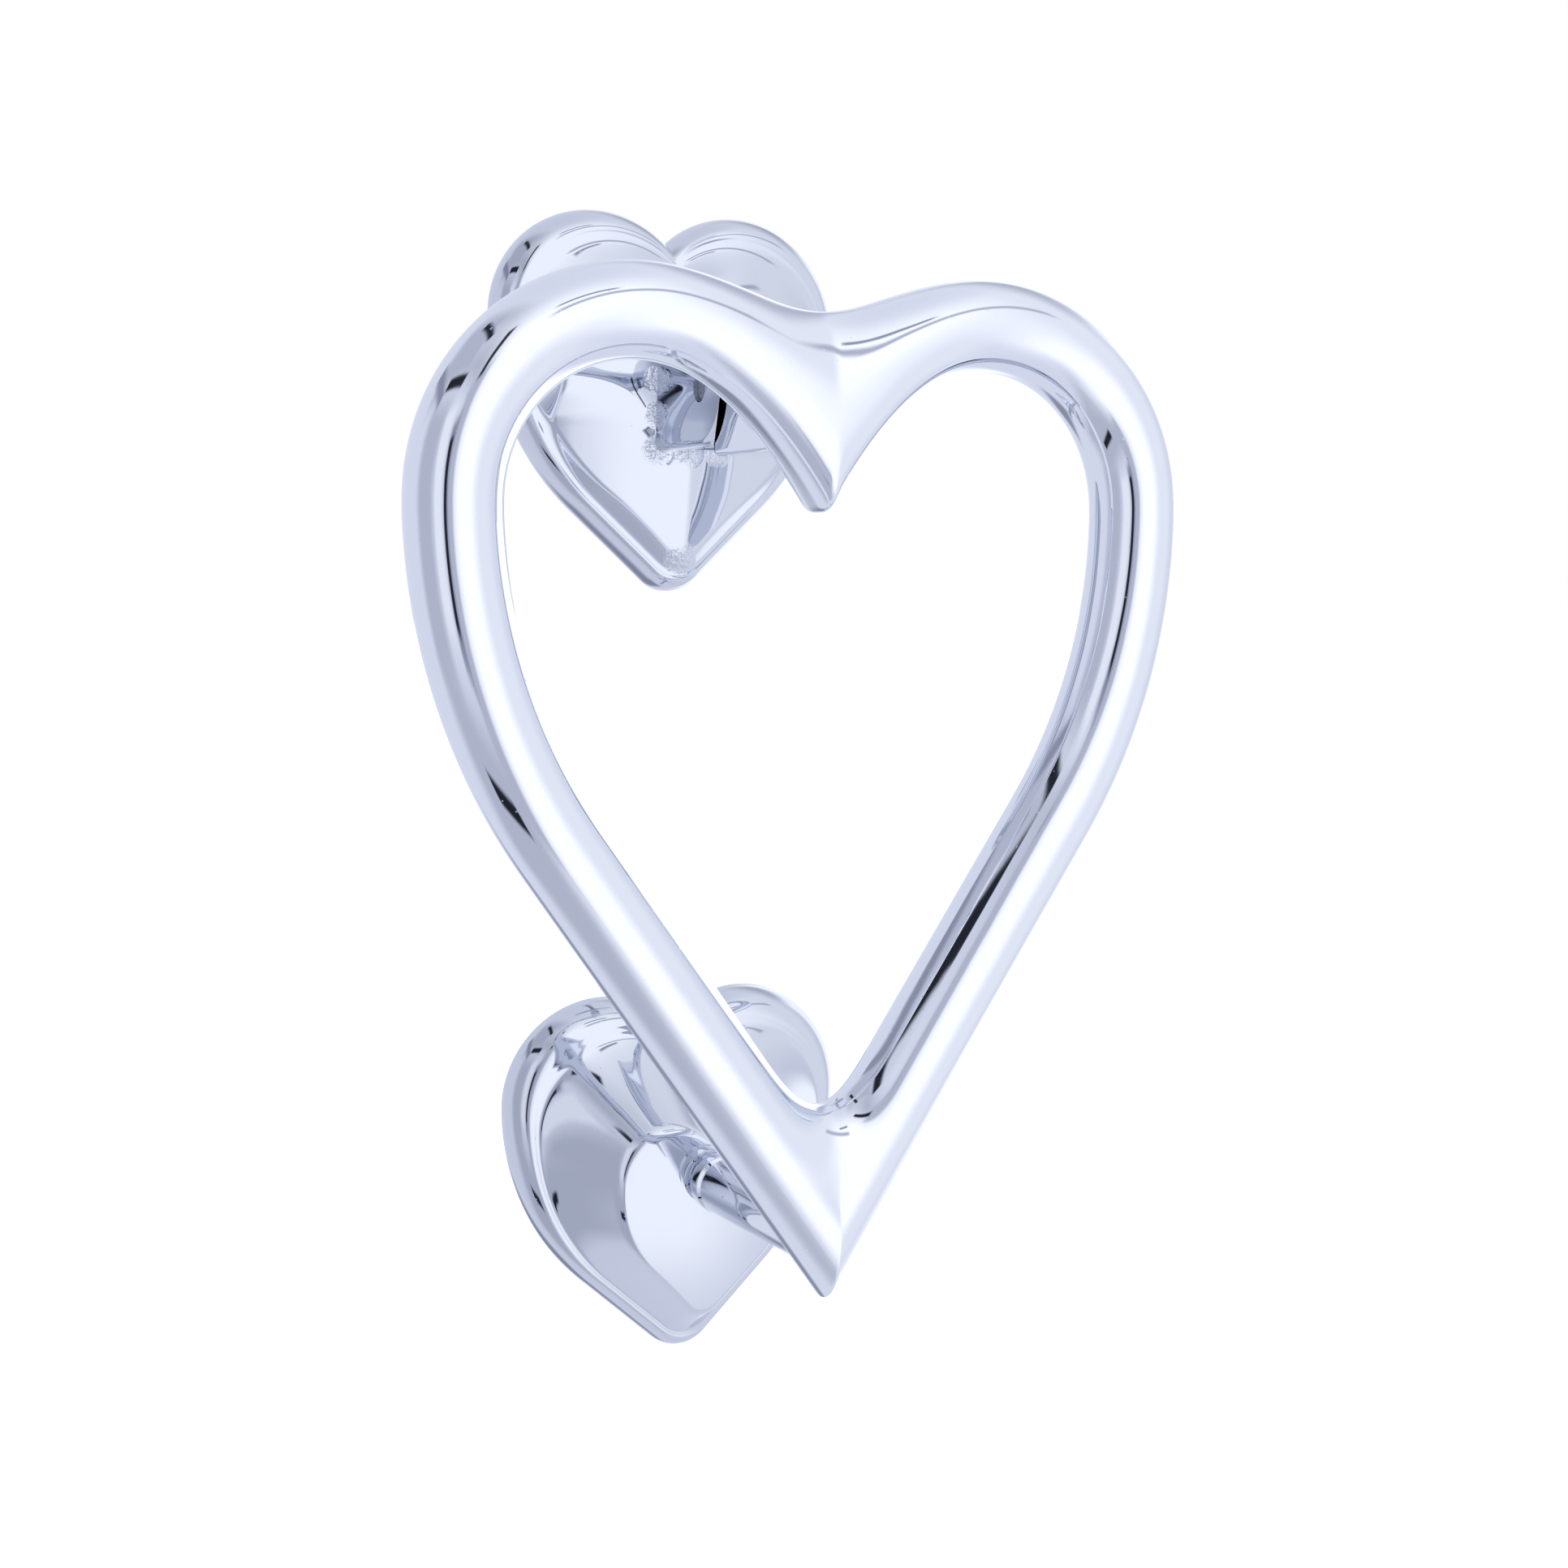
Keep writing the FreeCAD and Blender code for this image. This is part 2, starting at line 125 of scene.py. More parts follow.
def make_object(name, mesh, body, material, sharp_deg=40):
    """Link a mesh, clean it, shade it smooth and let it ride on its body."""
    editable = bmesh.new()
    editable.from_mesh(mesh)
    bmesh.ops.remove_doubles(editable, verts=editable.verts, dist=WELD)
    bmesh.ops.dissolve_degenerate(editable, edges=editable.edges, dist=SLIVER)
    bmesh.ops.recalc_face_normals(editable, faces=editable.faces)
    editable.to_mesh(mesh)
    editable.free()
    mesh.shade_smooth()
    mesh.set_sharp_from_angle(angle=math.radians(sharp_deg))
    mesh.materials.clear()
    mesh.materials.append(material)
    piece = bpy.data.objects.new(name, mesh)
    bpy.context.scene.collection.objects.link(piece)
    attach(piece, body)
    return piece


def round_angles(count):
    """Evenly spaced angles of a whole turn."""
    return np.linspace(0, 2 * np.pi, count, endpoint=False)


def grid_mesh(name, rows, loop_rows=False, caps=False):
    """Quads over closed rows of points in millimetres. Caps close the first and last row."""
    count, across = rows.shape[:2]
    down = np.arange(count if loop_rows else count - 1)[:, None]
    along = np.arange(across)[None, :]
    below, beside = (down + 1) % count, (along + 1) % across
    quads = np.stack([down * across + along, down * across + beside,
                      below * across + beside, below * across + along], axis=-1)
    faces = quads.reshape(-1, 4).tolist()
    if caps:
        faces += [list(range(across))[::-1], list(range((count - 1) * across, count * across))]
    mesh = bpy.data.meshes.new(name)
    mesh.from_pydata((rows.reshape(-1, 3) * MM).tolist(), [], faces)
    return mesh


def rounded_path(corners, radii, closed=True, steps=8):
    """A 2D outline whose corners are turned into arcs of the given radii."""
    points = []
    count = len(corners)
    for index, (corner, radius) in enumerate(zip(corners, radii)):
        corner = np.array(corner, float)
        if radius == 0 or (not closed and index in (0, count - 1)):
            points.append(corner)
            continue
        before = np.array(corners[index - 1], float) - corner
        after = np.array(corners[(index + 1) % count], float) - corner
        before, after = before / np.linalg.norm(before), after / np.linalg.norm(after)
        half = math.acos(np.clip(before @ after, -1, 1)) / 2
        middle = (before + after) / np.linalg.norm(before + after)
        centre = corner + middle * radius / math.sin(half)
        start, end = before * radius / math.tan(half), after * radius / math.tan(half)
        for share in np.linspace(0, 1, steps + 1):
            arm = (corner + start - centre) * (1 - share) + (corner + end - centre) * share
            points.append(centre + arm / np.linalg.norm(arm) * radius)
    return np.array(points)


def turned_mesh(name, corners, radii, axis="y", centre_z=0.0, centre_y=0.0, around=96):
    """A turned piece from (radius, height) corners about an axis along Y or X."""
    profile = rounded_path(corners, radii, closed=False)
    angle = round_angles(around)
    ring = np.stack([np.cos(angle), np.sin(angle)], axis=-1)
    rows = np.zeros((len(profile), around, 3))
    across = profile[:, 0, None, None] * ring
    if axis == "y":
        rows[..., 0], rows[..., 2] = across[..., 0], across[..., 1] + centre_z
        rows[..., 1] = profile[:, 1, None]
    else:
        rows[..., 1], rows[..., 2] = across[..., 0] + centre_y, across[..., 1] + centre_z
        rows[..., 0] = profile[:, 1, None]
    return grid_mesh(name, rows)


def outline_normals(outline):
    """Unit normals of a closed 2D outline, to the right of its direction of travel."""
    tangent = np.roll(outline, -1, axis=0) - np.roll(outline, 1, axis=0)
    tangent /= np.linalg.norm(tangent, axis=1)[:, None]
    return np.stack([tangent[:, 1], -tangent[:, 0]], axis=1)


def slab_mesh(name, outline, half_width, edge_r, steps=8):
    """A slab centred on X = 0 over a counter-clockwise (y, z) outline, its edges rounded."""
    normals = outline_normals(outline)
    rows = []
    for side in (-1, 1):
        turns = np.linspace(0, np.pi / 2, steps + 1)
        for turn in turns if side < 0 else turns[::-1]:
            inset = edge_r * (1 - math.sin(turn))
            ring = outline - normals * inset
            width = side * (half_width - edge_r * (1 - math.cos(turn)))
            rows.append(np.column_stack([np.full(len(ring), width), ring]))
    return grid_mesh(name, np.array(rows), caps=True)


def box_mesh(name, low, high):
    """A plain cutter, never shown."""
    mesh = bpy.data.meshes.new(name)
    editable = bmesh.new()
    bmesh.ops.create_cube(editable, size=1.0)
    middle, spread = (np.array(low) + high) / 2, np.array(high) - low
    for vertex in editable.verts:
        vertex.co = Vector((np.array(vertex.co) * spread + middle) * MM)
    editable.to_mesh(mesh)
    editable.free()
    return mesh


def cut_mesh(name, first, *others):
    """A new mesh: the first with the others cut away by exact booleans."""
    temporary = [bpy.data.objects.new(f"{name}_{index}", mesh)
                 for index, mesh in enumerate((first, *others))]
    for item in temporary:
        bpy.context.scene.collection.objects.link(item)
    for tool in temporary[1:]:
        step = temporary[0].modifiers.new(tool.name, "BOOLEAN")
        step.operation, step.solver, step.object = "DIFFERENCE", "EXACT", tool
    bpy.context.view_layer.update()
    graph = bpy.context.evaluated_depsgraph_get()
    result = bpy.data.meshes.new_from_object(temporary[0].evaluated_get(graph))
    result.name = name
    for item in temporary:
        bpy.data.objects.remove(item)
    return result


def smooth_step(value):
    """A rise from 0 to 1 that starts and ends level."""
    value = np.clip(value, 0, 1)
    return value * value * (3 - 2 * value)


def soft_abs(value, reach):
    """|value| with its point rounded off within reach, smooth to the second order."""
    share = np.minimum(np.abs(value) / reach, 1)
    bowl = reach * (0.375 + 0.75 * share**2 - 0.125 * share**4)
    return np.where(np.abs(value) < reach, bowl, np.abs(value))


def soft_min(first, second, blend):
    """The lower of two heights, with a fillet where they meet."""
    near = np.maximum(blend - np.abs(first - second), 0)
    return np.minimum(first, second) - near**2 / (4 * blend)


def soft_max(first, second, blend):
    """The higher of two heights, with a fillet where they meet."""
    return -soft_min(-first, -second, blend)


# ---------------------------------------------------------------- the ring

AROUND = 112                             # points round the rod
NOTCH_POINT, BEAK_POINT = 0.3, 1.2       # the part of each drop that comes to a sharper point
TIP_FILLET, CROOK_EXTRA = 0.3, 9.0       # the mitre's rounding at its tip, and what the crook adds


def web_rows(steps=90):
    """Upright sections from the middle of the notch to the top of one lobe."""
    angle = round_angles(AROUND)
    rows = []
    for share in np.linspace(0, 1, steps) ** 1.35:
        x = share * LOBE_X
        top_share = soft_abs(x, 9.0) / LOBE_X
        low_share = soft_abs(x, 1.0) / LOBE_X
        top_left, low_left = max(1 - top_share, 0), max(1 - low_share, 0)
        sink_top = ((NOTCH_DROP - NOTCH_POINT) * top_left**2 * (1 + top_share)
                    + NOTCH_POINT * top_left**3)
        sink_low = (BEAK_DROP - BEAK_POINT) * low_left**2 + BEAK_POINT * low_left**3
        top, low = LOBE_Z + LOBE_R + SECTION_R - sink_top, LOBE_Z + LOBE_R - SECTION_R - sink_low
        square = 2 + 1.3 * low_left**2 * smooth_step(0.5 - np.cos(angle))
        reach = (np.abs(np.cos(angle))**square + np.abs(np.sin(angle))**square) ** (-1 / square)
        rows.append(np.column_stack([np.full(AROUND, x), RING_Y - SECTION_R * np.sin(angle) * reach,
                                     (top + low) / 2 + (top - low) / 2 * np.cos(angle) * reach]))
    return rows


def arm_path(steps=150):
    """Centre points and outward normals down one arm, its bends eased into each other."""
    side_x = LOBE_X + LOBE_R - SIDE_R
    drop = LOBE_Z - MITRE_Z
    span = math.hypot(side_x, drop)
    lean = math.acos(-SIDE_R / span) - math.atan2(drop, side_x)
    straight = math.sqrt(span**2 - SIDE_R**2)
    bends = [(LOBE_R * math.pi / 2, 1 / LOBE_R), (SIDE_R * lean, 1 / SIDE_R), (straight, 0.0)]
    total = sum(length for length, _ in bends)
    fine = np.linspace(0, total, 4000)
    curve = np.zeros_like(fine)
    reached = 0.0
    for length, bend in bends:
        curve[fine >= reached] = bend
        reached += length
    ease = 9.0                                # length over which one bend turns into the next
    width = int(ease / (fine[1] - fine[0]))
    kernel = np.hanning(width)
    padded = np.concatenate([np.full(width, 1 / LOBE_R), curve, np.zeros(width)])
    curve = np.convolve(padded, kernel / kernel.sum(), "same")[width:-width]
    turn = np.concatenate([[0], np.cumsum((curve[1:] + curve[:-1]) / 2 * np.diff(fine))])
    heading = np.stack([np.cos(turn), -np.sin(turn)], axis=1)
    place = np.concatenate([[[0, 0]], np.cumsum((heading[1:] + heading[:-1]) / 2
                                                 * np.diff(fine)[:, None], axis=0)])
    place += (LOBE_X, LOBE_Z + LOBE_R)
    place += (np.array([0, MITRE_Z]) - place[-1]) * smooth_step(fine / total)[:, None]
    stop = total - straight * 0.75            # the rest runs straight to the mitre
    picks = np.searchsorted(fine, np.linspace(0, stop, steps))
    outward = np.stack([-heading[picks, 1], heading[picks, 0]], axis=1)
    return place[picks], outward, heading[picks[-1]]


def mitre_rows(start, heading, steps=90):
    """The straight end of an arm down to the middle plane, filleted in the crook of the V."""
    slope = heading[1] / heading[0]
    rows = []
    for share in 1 - (1 - np.linspace(0, 1, steps + 1)[1:]) ** 1.6:
        x = start[:, 0] * (1 - share)
        height = start[:, 2] + slope * (x - start[:, 0])
        for _ in range(25):
            # The fillet is wide in the crook and almost nothing at the outer tip.
            reach = TIP_FILLET + CROOK_EXTRA * smooth_step((height - (MITRE_Z + 2.0)) / 8.0)
            height = start[:, 2] + slope * (soft_abs(x, reach) - start[:, 0])
        rows.append(np.column_stack([x, start[:, 1], height]))
    return rows


def ring_mesh():
    """The whole ring: the web with its notch and beak, both arms and the mitre."""
    angle = round_angles(AROUND)
    rows = web_rows()
    places, outward, heading = arm_path()
    for place, normal in zip(places[1:], outward[1:]):
        flat = place + SECTION_R * np.cos(angle)[:, None] * normal
        rows.append(np.column_stack([flat[:, 0], RING_Y - SECTION_R * np.sin(angle), flat[:, 1]]))
    rows += mitre_rows(rows[-1], heading)
    right = np.array(rows)
    left = right[-2:0:-1] * (-1, 1, 1)
    return grid_mesh("ring_rod", np.concatenate([right, left]), loop_rows=True)


def pivot_arc(radius, start_deg, end_deg, steps=40):
    """Points in (y, z) on a circle about the hinge pin."""
    turn = np.radians(np.linspace(start_deg, end_deg, steps))
    return np.stack([HINGE_Y + radius * np.cos(turn), radius * np.sin(turn)], axis=1)


def neck_meshes():
    """The ring's hinge tongue, and the shoulder that fills out the lug in front of the fork."""
    inside = RING_Y - 1.0
    under = SHOULDER_TOP - TONGUE_SINK
    arc = pivot_arc(TONGUE_R, -90, 90)
    tongue = np.concatenate([[[inside, -TONGUE_R]], arc,
                             [[HINGE_Y - TONGUE_R, under], [inside, under]]])
    top = 180 - math.degrees(math.asin(SHOULDER_TOP / RELIEF_R))
    low = 180 - math.degrees(math.asin(RELIEF_BOTTOM / RELIEF_R))
    relief = pivot_arc(RELIEF_R, low, top)
    shoulder = np.concatenate([[[inside, SHOULDER_BOTTOM], [relief[0, 0], SHOULDER_BOTTOM]], relief,
                               [[inside, SHOULDER_TOP]]])
    shoulder = rounded_path(shoulder, [0, 0.7] + [0] * len(relief) + [0])
    hole_r = PIN_R + RUNNING_GAP
    hole = turned_mesh("pin_way", [(0, -6), (hole_r, -6), (hole_r, 6), (0, 6)], [0] * 4,
                       axis="x", centre_y=HINGE_Y)
    tongue = cut_mesh("ring_tongue", slab_mesh("tongue", tongue, TONGUE_HALF, 0.3), hole)
    return tongue, slab_mesh("ring_shoulder", shoulder, FORK_HALF, 0.9)


# ---------------------------------------------------------------- the bases

def heart_outline(per_side=180):
    """The heart's outline from the notch down one side, over the tip and back up, evenly spaced."""
    side_x = HEART["lobe_x"] + HEART["lobe_r"] - HEART["side_r"]
    tip_z = HEART["tip_z"] + HEART["tip_r"]
    span = math.hypot(side_x, HEART["lobe_z"] - tip_z)
    touch = (math.atan2(HEART["lobe_z"] - tip_z, side_x)
             - math.acos((HEART["tip_r"] - HEART["side_r"]) / span))
    notch = math.acos(-HEART["lobe_x"] / HEART["lobe_r"])

    def bend(centre_x, centre_z, radius, start, end):
        turn = np.linspace(start, end, 500)
        return np.stack([centre_x + radius * np.cos(turn), centre_z + radius * np.sin(turn)],
                        axis=1)

    path = np.concatenate([bend(HEART["lobe_x"], HEART["lobe_z"], HEART["lobe_r"], notch, 0),
                           bend(side_x, HEART["lobe_z"], HEART["side_r"], 0, touch),
                           bend(0, tip_z, HEART["tip_r"], touch, -math.pi / 2)])
    steps = np.concatenate([[0], np.cumsum(np.linalg.norm(np.diff(path, axis=0), axis=1))])
    even = np.linspace(0, steps[-1], per_side + 1)
    right = np.stack([np.interp(even, steps, path[:, column]) for column in (0, 1)], axis=1)
    tangent = np.gradient(right, axis=0)
    normal = np.stack([-tangent[:, 1], tangent[:, 0]], axis=1)
    normal /= np.linalg.norm(normal, axis=1)[:, None]
    flip = (-1, 1)
    return (np.concatenate([right, right[-2:0:-1] * flip]),
            np.concatenate([normal, normal[-2:0:-1] * flip]))


def casting_mesh(name, boss, centre_z):
    """A heart plate with a pillow-like rim and a coved boss; its back has the bolt's bore.

    The boss's foot and top are scales of the heart's outline. Its crown is a dome about crown_z,
    and below the hinge it falls away from a ridge with the slope keel.
    """
    outline, normal = heart_outline()
    from_centre = outline - BOSS_CENTRE
    to_tangent = np.sum(from_centre * normal, axis=1)

    def row(points, height):
        height = np.broadcast_to(height, len(points))
        return np.column_stack([points[:, 0], -height, points[:, 1] + centre_z])

    def level(scale):
        """Heights over the plate's face at one scale of the outline."""
        points = BOSS_CENTRE + from_centre * np.reshape(scale, (-1, 1))
        climb = (boss["foot"] - scale) / (boss["foot"] - boss["top"])
        wall = PLATE + (boss["crown"] - PLATE) * np.sign(climb) * np.abs(climb) ** boss["cove"]
        away2 = points[:, 0]**2 + (points[:, 1] - boss["crown_z"])**2
        dome = boss["crown"] - (DOME_R - np.sqrt(DOME_R**2 - away2))
        below = smooth_step((3 - points[:, 1]) / 8)
        dome = dome - boss["keel"] * soft_abs(points[:, 0], 0.8) * below
        face = soft_min(wall, dome, boss["crease"])
        return row(points, soft_max(face, PLATE, boss["foot_fillet"]))

    bearing = outline / np.linalg.norm(outline, axis=1)[:, None]
    bore = bearing * BORE_R
    mouth = bearing * (BORE_R + BACK_EDGE)
    rows = [row(bearing * 0.01, BORE_DEPTH), row(bore, BORE_DEPTH), row(bore, BACK_EDGE),
            row(mouth, 0.0)]
    back_edge = BOSS_CENTRE + from_centre * (1 - BACK_EDGE / to_tangent)[:, None]
    for share in np.linspace(0, 1, 8)[1:]:
        rows.append(row(mouth * (1 - share) + back_edge * share, 0.0))
    rows.append(row(outline, BACK_EDGE))
    rows.append(row(outline, PLATE - RIM_DEPTH))
    margin = boss["foot"] + RIM_TO_FOOT       # the scale at which the rim's curve runs out
    for turn in np.radians(np.linspace(0, 90, 26))[1:-1]:
        scale = margin + (1 - margin) * math.cos(turn)
        points = BOSS_CENTRE + from_centre * scale
        rows.append(row(points, PLATE - RIM_DEPTH * (1 - math.sin(turn))))
    for share in np.linspace(0, 1, 140):
        rows.append(level(max(margin * (1 - share), 0.001)))
    return grid_mesh(name, np.array(rows), caps=True)


def fork_mesh():
    """The two cheeks that hold the pin, cut from one block that grows out of the upper boss."""
    arc = pivot_arc(FORK_R, 90, 270, steps=70)
    outline = np.concatenate([[[FORK_ROOT_Y, FORK_R]], arc, [[FORK_ROOT_Y, -FORK_R]]])
    solid = slab_mesh("fork_block", outline, FORK_HALF, 1.1)
    slot = box_mesh("slot", (-SLOT_HALF, -40, -12), (SLOT_HALF, SLOT_FLOOR_Y, 12))
    hole_r = PIN_R + PRESS_GAP
    hole = turned_mesh("pin_hole", [(0, -8), (hole_r, -8), (hole_r, 8), (0, 8)], [0] * 4,
                       axis="x", centre_y=HINGE_Y)
    return cut_mesh("hinge_fork", solid, slot, hole)


# ---------------------------------------------------------------- small pieces

def stud_mesh():
    """The strike stud, with a rounded face and a fine turned groove behind it."""
    spigot_r, neck_r = 2.5, 3.4
    seat, ring_back = RING_FRONT + 8, RING_FRONT + 2 * SECTION_R
    groove_r = STUD_R - 0.5
    corners = [(0, STUD_START), (spigot_r, STUD_START), (spigot_r, seat), (neck_r, seat),
               (neck_r, ring_back), (STUD_R - 0.1, STUD_FACE - 4.2), (groove_r, STUD_FACE - 3.8),
               (groove_r, STUD_FACE - 3.3), (STUD_R, STUD_FACE - 2.9), (STUD_R, STUD_FACE),
               (0, STUD_FACE)]
    radii = [0, 0.3, 0, 0, 0, 0.1, 0.1, 0.1, 0.2, 1.1, 0]
    return turned_mesh("strike_stud_body", corners, radii, centre_z=STUD_Z)


def bolt_mesh(name, centre_z, pitch=1.0, depth=0.55, around=40, per_turn=14):
    """A fully threaded M6 rod with chamfered ends."""
    length = BOLT_END - BOLT_START
    along = np.linspace(0, length, int(length / pitch * per_turn))
    angle = round_angles(around)
    phase = (along[:, None] / pitch - angle[None, :] / (2 * np.pi)) % 1
    radius = BOLT_R - depth * smooth_step(1.35 * (1 - np.abs(2 * phase - 1)) - 0.15)
    end = np.minimum(along, length - along)[:, None]
    radius = np.minimum(radius, BOLT_R - 0.6 + end)
    height = np.broadcast_to(along[:, None] + BOLT_START, radius.shape)
    rows = np.stack([radius * np.cos(angle), height, radius * np.sin(angle) + centre_z], axis=-1)
    return grid_mesh(name, rows, caps=True)


def nut_mesh(name, centre_z, around=180):
    """A hexagon with turned chamfers under a dome, with a blind bore."""
    angle = round_angles(around)
    hexagon = NUT_HALF_FLATS / np.cos(angle % (np.pi / 3) - np.pi / 6)
    dome_r = 4.7
    hex_end = NUT_END - dome_r
    bore_r, bore_end = BOLT_R + 0.03, hex_end + 1.5
    face_r = NUT_HALF_FLATS - 0.2             # the flat ring that sits on the washer
    corner = NUT_HALF_FLATS / math.cos(np.pi / 6)
    profile = [(bore_r, bore_end), (bore_r, WASHER_END + 0.3), (BOLT_R + 0.4, WASHER_END),
               (face_r, WASHER_END)]
    profile += [(face_r + (corner + 0.1 - NUT_HALF_FLATS) * share, WASHER_END + 0.55 * share)
                for share in np.linspace(0, 1, 7)[1:]]
    profile += [(corner, WASHER_END + 0.9), (corner, hex_end - 0.9)]
    profile += [(corner - (corner - dome_r + 0.1) * share, hex_end - 0.9 + 0.8 * share)
                for share in np.linspace(0, 1, 9)[1:]]
    profile += [(dome_r * math.cos(turn), hex_end + dome_r * math.sin(turn))
                for turn in np.radians(np.linspace(0, 89.5, 30))]
    rows = []
    for radius, height in [(0.02, bore_end)] + profile:
        shape = np.minimum(radius, hexagon) if radius > BOLT_R + 0.5 else np.full(around, radius)
        rows.append(np.stack([shape * np.cos(angle), np.full(around, height),
                              shape * np.sin(angle) + centre_z], axis=-1))
    return grid_mesh(name, np.array(rows), caps=True)


def washer_mesh(name, centre_z, around=96):
    """A flat washer with its punched edge rounded on one side."""
    inner = BOLT_R + 0.2
    corners = [(inner, DOOR_Y), (WASHER_R, DOOR_Y), (WASHER_R, WASHER_END), (inner, WASHER_END)]
    profile = rounded_path(corners, [0.1, 0.15, 0.4, 0.1], steps=5)
    angle = round_angles(around)
    radius, height = profile[:, :1], profile[:, 1:]
    rows = np.stack([radius * np.cos(angle), np.broadcast_to(height, (len(profile), around)),
                     radius * np.sin(angle) + centre_z], axis=-1)
    return grid_mesh(name, rows, loop_rows=True)


# ---------------------------------------------------------------- materials

def math_node(tree, operation, *values):
    """A Math node's result; each value is a number or another node's output."""
    node = tree.nodes.new("ShaderNodeMath")
    node.operation = operation
    for target, value in zip(node.inputs, values):
        if isinstance(value, float):
            target.default_value = value
        else:
            tree.links.new(value, target)
    return node.outputs[0]


class Nodes:
    """A material's node tree, with short calls to add and link nodes."""

    def __init__(self, name):
        self.material = bpy.data.materials.new(name)
        self.material.use_nodes = True
        self.tree = self.material.node_tree
        self.shader = self.tree.nodes["Principled BSDF"]

    def add(self, kind, **settings):
        node = self.tree.nodes.new(kind)
        for key, value in settings.items():
            if key in node.inputs:
                node.inputs[key].default_value = value
            else:
                setattr(node, key, value)
        return node

    def link(self, output, target):
        self.tree.links.new(output, target)

    def place(self):
        """The point's own place on the object, in metres."""
        return self.add("ShaderNodeTexCoord").outputs["Object"]

    def noise(self, scale, detail):
        node = self.add("ShaderNodeTexNoise", Scale=scale, Detail=detail)
        self.link(self.place(), node.inputs["Vector"])
        return node.outputs["Fac"]

    def math(self, operation, *values):
        return math_node(self.tree, operation, *values)

    def ranged(self, value, low, high, from_low=0.3, from_high=0.7):
        """The value's range from_low to from_high spread over low to high."""
        node = self.add("ShaderNodeMapRange")
        self.link(value, node.inputs["Value"])
        settings = {"From Min": from_low, "From Max": from_high, "To Min": low, "To Max": high}
        for key, setting in settings.items():
            node.inputs[key].default_value = setting
        return node.outputs["Result"]

    def bump(self, height, strength, distance, under=None):
        node = self.add("ShaderNodeBump", Strength=strength, Distance=distance)
        self.link(height, node.inputs["Height"])
        if under is not None:
            self.link(under, node.inputs["Normal"])
        return node.outputs["Normal"]


def chrome(name, tint=(0.80, 0.825, 0.885), low=0.015, high=0.06, wave=0.03, cast_at=(),
           ground_back=False):
    """Polished chrome plate: slightly uneven gloss, faint buffing waves and sparse pinpricks.

    The grain of the casting shows within reach of each place in cast_at, where no wheel got in.
    A ground back is dull and scratched where it lies on the door.
    """
    nodes = Nodes(name)
    nodes.shader.inputs["Metallic"].default_value = 1.0
    nodes.shader.inputs["Base Color"].default_value = (*tint, 1)
    gloss = nodes.ranged(nodes.noise(55, 5), low, high)
    normal = nodes.bump(nodes.noise(70, 2), wave, 0.002)
    pricks = nodes.ranged(nodes.noise(1400, 2), 0.0, 1.0, 0.72, 0.8)
    normal = nodes.bump(pricks, 0.10, 0.0001, normal)
    for *place, reach in cast_at:
        away = nodes.add("ShaderNodeVectorMath", operation="DISTANCE")
        nodes.link(nodes.place(), away.inputs[0])
        away.inputs[1].default_value = [value * MM for value in place]
        near = nodes.ranged(away.outputs["Value"], 1.0, 0.0, 0.2 * reach * MM, reach * MM)
        grain = nodes.math("MULTIPLY", nodes.ranged(nodes.noise(1500, 3), 0.0, 1.0), near)
        normal = nodes.bump(grain, 0.7, 0.0003, normal)
    if ground_back:
        place = nodes.place()
        split = nodes.add("ShaderNodeSeparateXYZ")
        nodes.link(place, split.inputs[0])
        at_back = nodes.ranged(split.outputs["Y"], 0.0, 1.0, -0.0003, -0.0001)
        stretch = nodes.add("ShaderNodeMapping")
        stretch.inputs["Scale"].default_value = (60, 60, 2200)     # long scratches along X
        nodes.link(place, stretch.inputs["Vector"])
        lines = nodes.add("ShaderNodeTexNoise", Scale=1.0, Detail=5.0)
        nodes.link(stretch.outputs["Vector"], lines.inputs["Vector"])
        scratch = nodes.math("MULTIPLY", lines.outputs["Fac"], at_back)
        normal = nodes.bump(scratch, 0.6, 0.0003, normal)
        extra_roughness = 0.26
        gloss = nodes.math("MULTIPLY_ADD", at_back, extra_roughness, gloss)
    nodes.link(gloss, nodes.shader.inputs["Roughness"])
    nodes.link(normal, nodes.shader.inputs["Normal"])
    return nodes.material


def steel(name, tint, low, high, grain):
    """Plain or zinc-plated steel with an uneven gloss and fine grain."""
    nodes = Nodes(name)
    nodes.shader.inputs["Metallic"].default_value = 1.0
    nodes.shader.inputs["Base Color"].default_value = (*tint, 1)
    nodes.link(nodes.ranged(nodes.noise(260, 6), low, high), nodes.shader.inputs["Roughness"])
    nodes.link(nodes.bump(nodes.noise(grain, 4), 0.12, 0.0002), nodes.shader.inputs["Normal"])
    return nodes.material


# Corners that polishing doesn't reach, in millimetres, each with how far the grain goes.
CAST_GRAIN = [(0, -6.0, -23.0, 3.0), (-FORK_HALF, -10.5, -FORK_R, 2.6), (0, -10.5, -FORK_R, 2.6),
              (FORK_HALF, -10.5, -FORK_R, 2.6), (-FORK_HALF, -10.8, 2.0, 2.2),
              (-FORK_HALF, -10.8, -3.0, 2.2), (0, -7.0, LOWER_Z + 15.5, 3.0)]
MATERIALS = {
    # The bases' chrome has a darker tint than the ring's: painted shade, standing in for the darker
    # surroundings that the plates reflect.
    "base_chrome": chrome("base_chrome", tint=(0.66, 0.69, 0.76), cast_at=CAST_GRAIN,
                          ground_back=True),
    "ring_chrome": chrome("ring_chrome"),
    "stud_chrome": chrome("stud_chrome", wave=0.015),
    "pin_steel": steel("pin_steel", (0.30, 0.31, 0.35), 0.18, 0.35, 900),
    "bolt_steel": steel("bolt_steel", (0.62, 0.63, 0.65), 0.22, 0.40, 1500),
    "washer_steel": steel("washer_steel", (0.66, 0.67, 0.69), 0.20, 0.38, 1100),
    "nut_chrome": chrome("nut_chrome", low=0.04, high=0.12, wave=0.015),
}


# ---------------------------------------------------------------- assembly

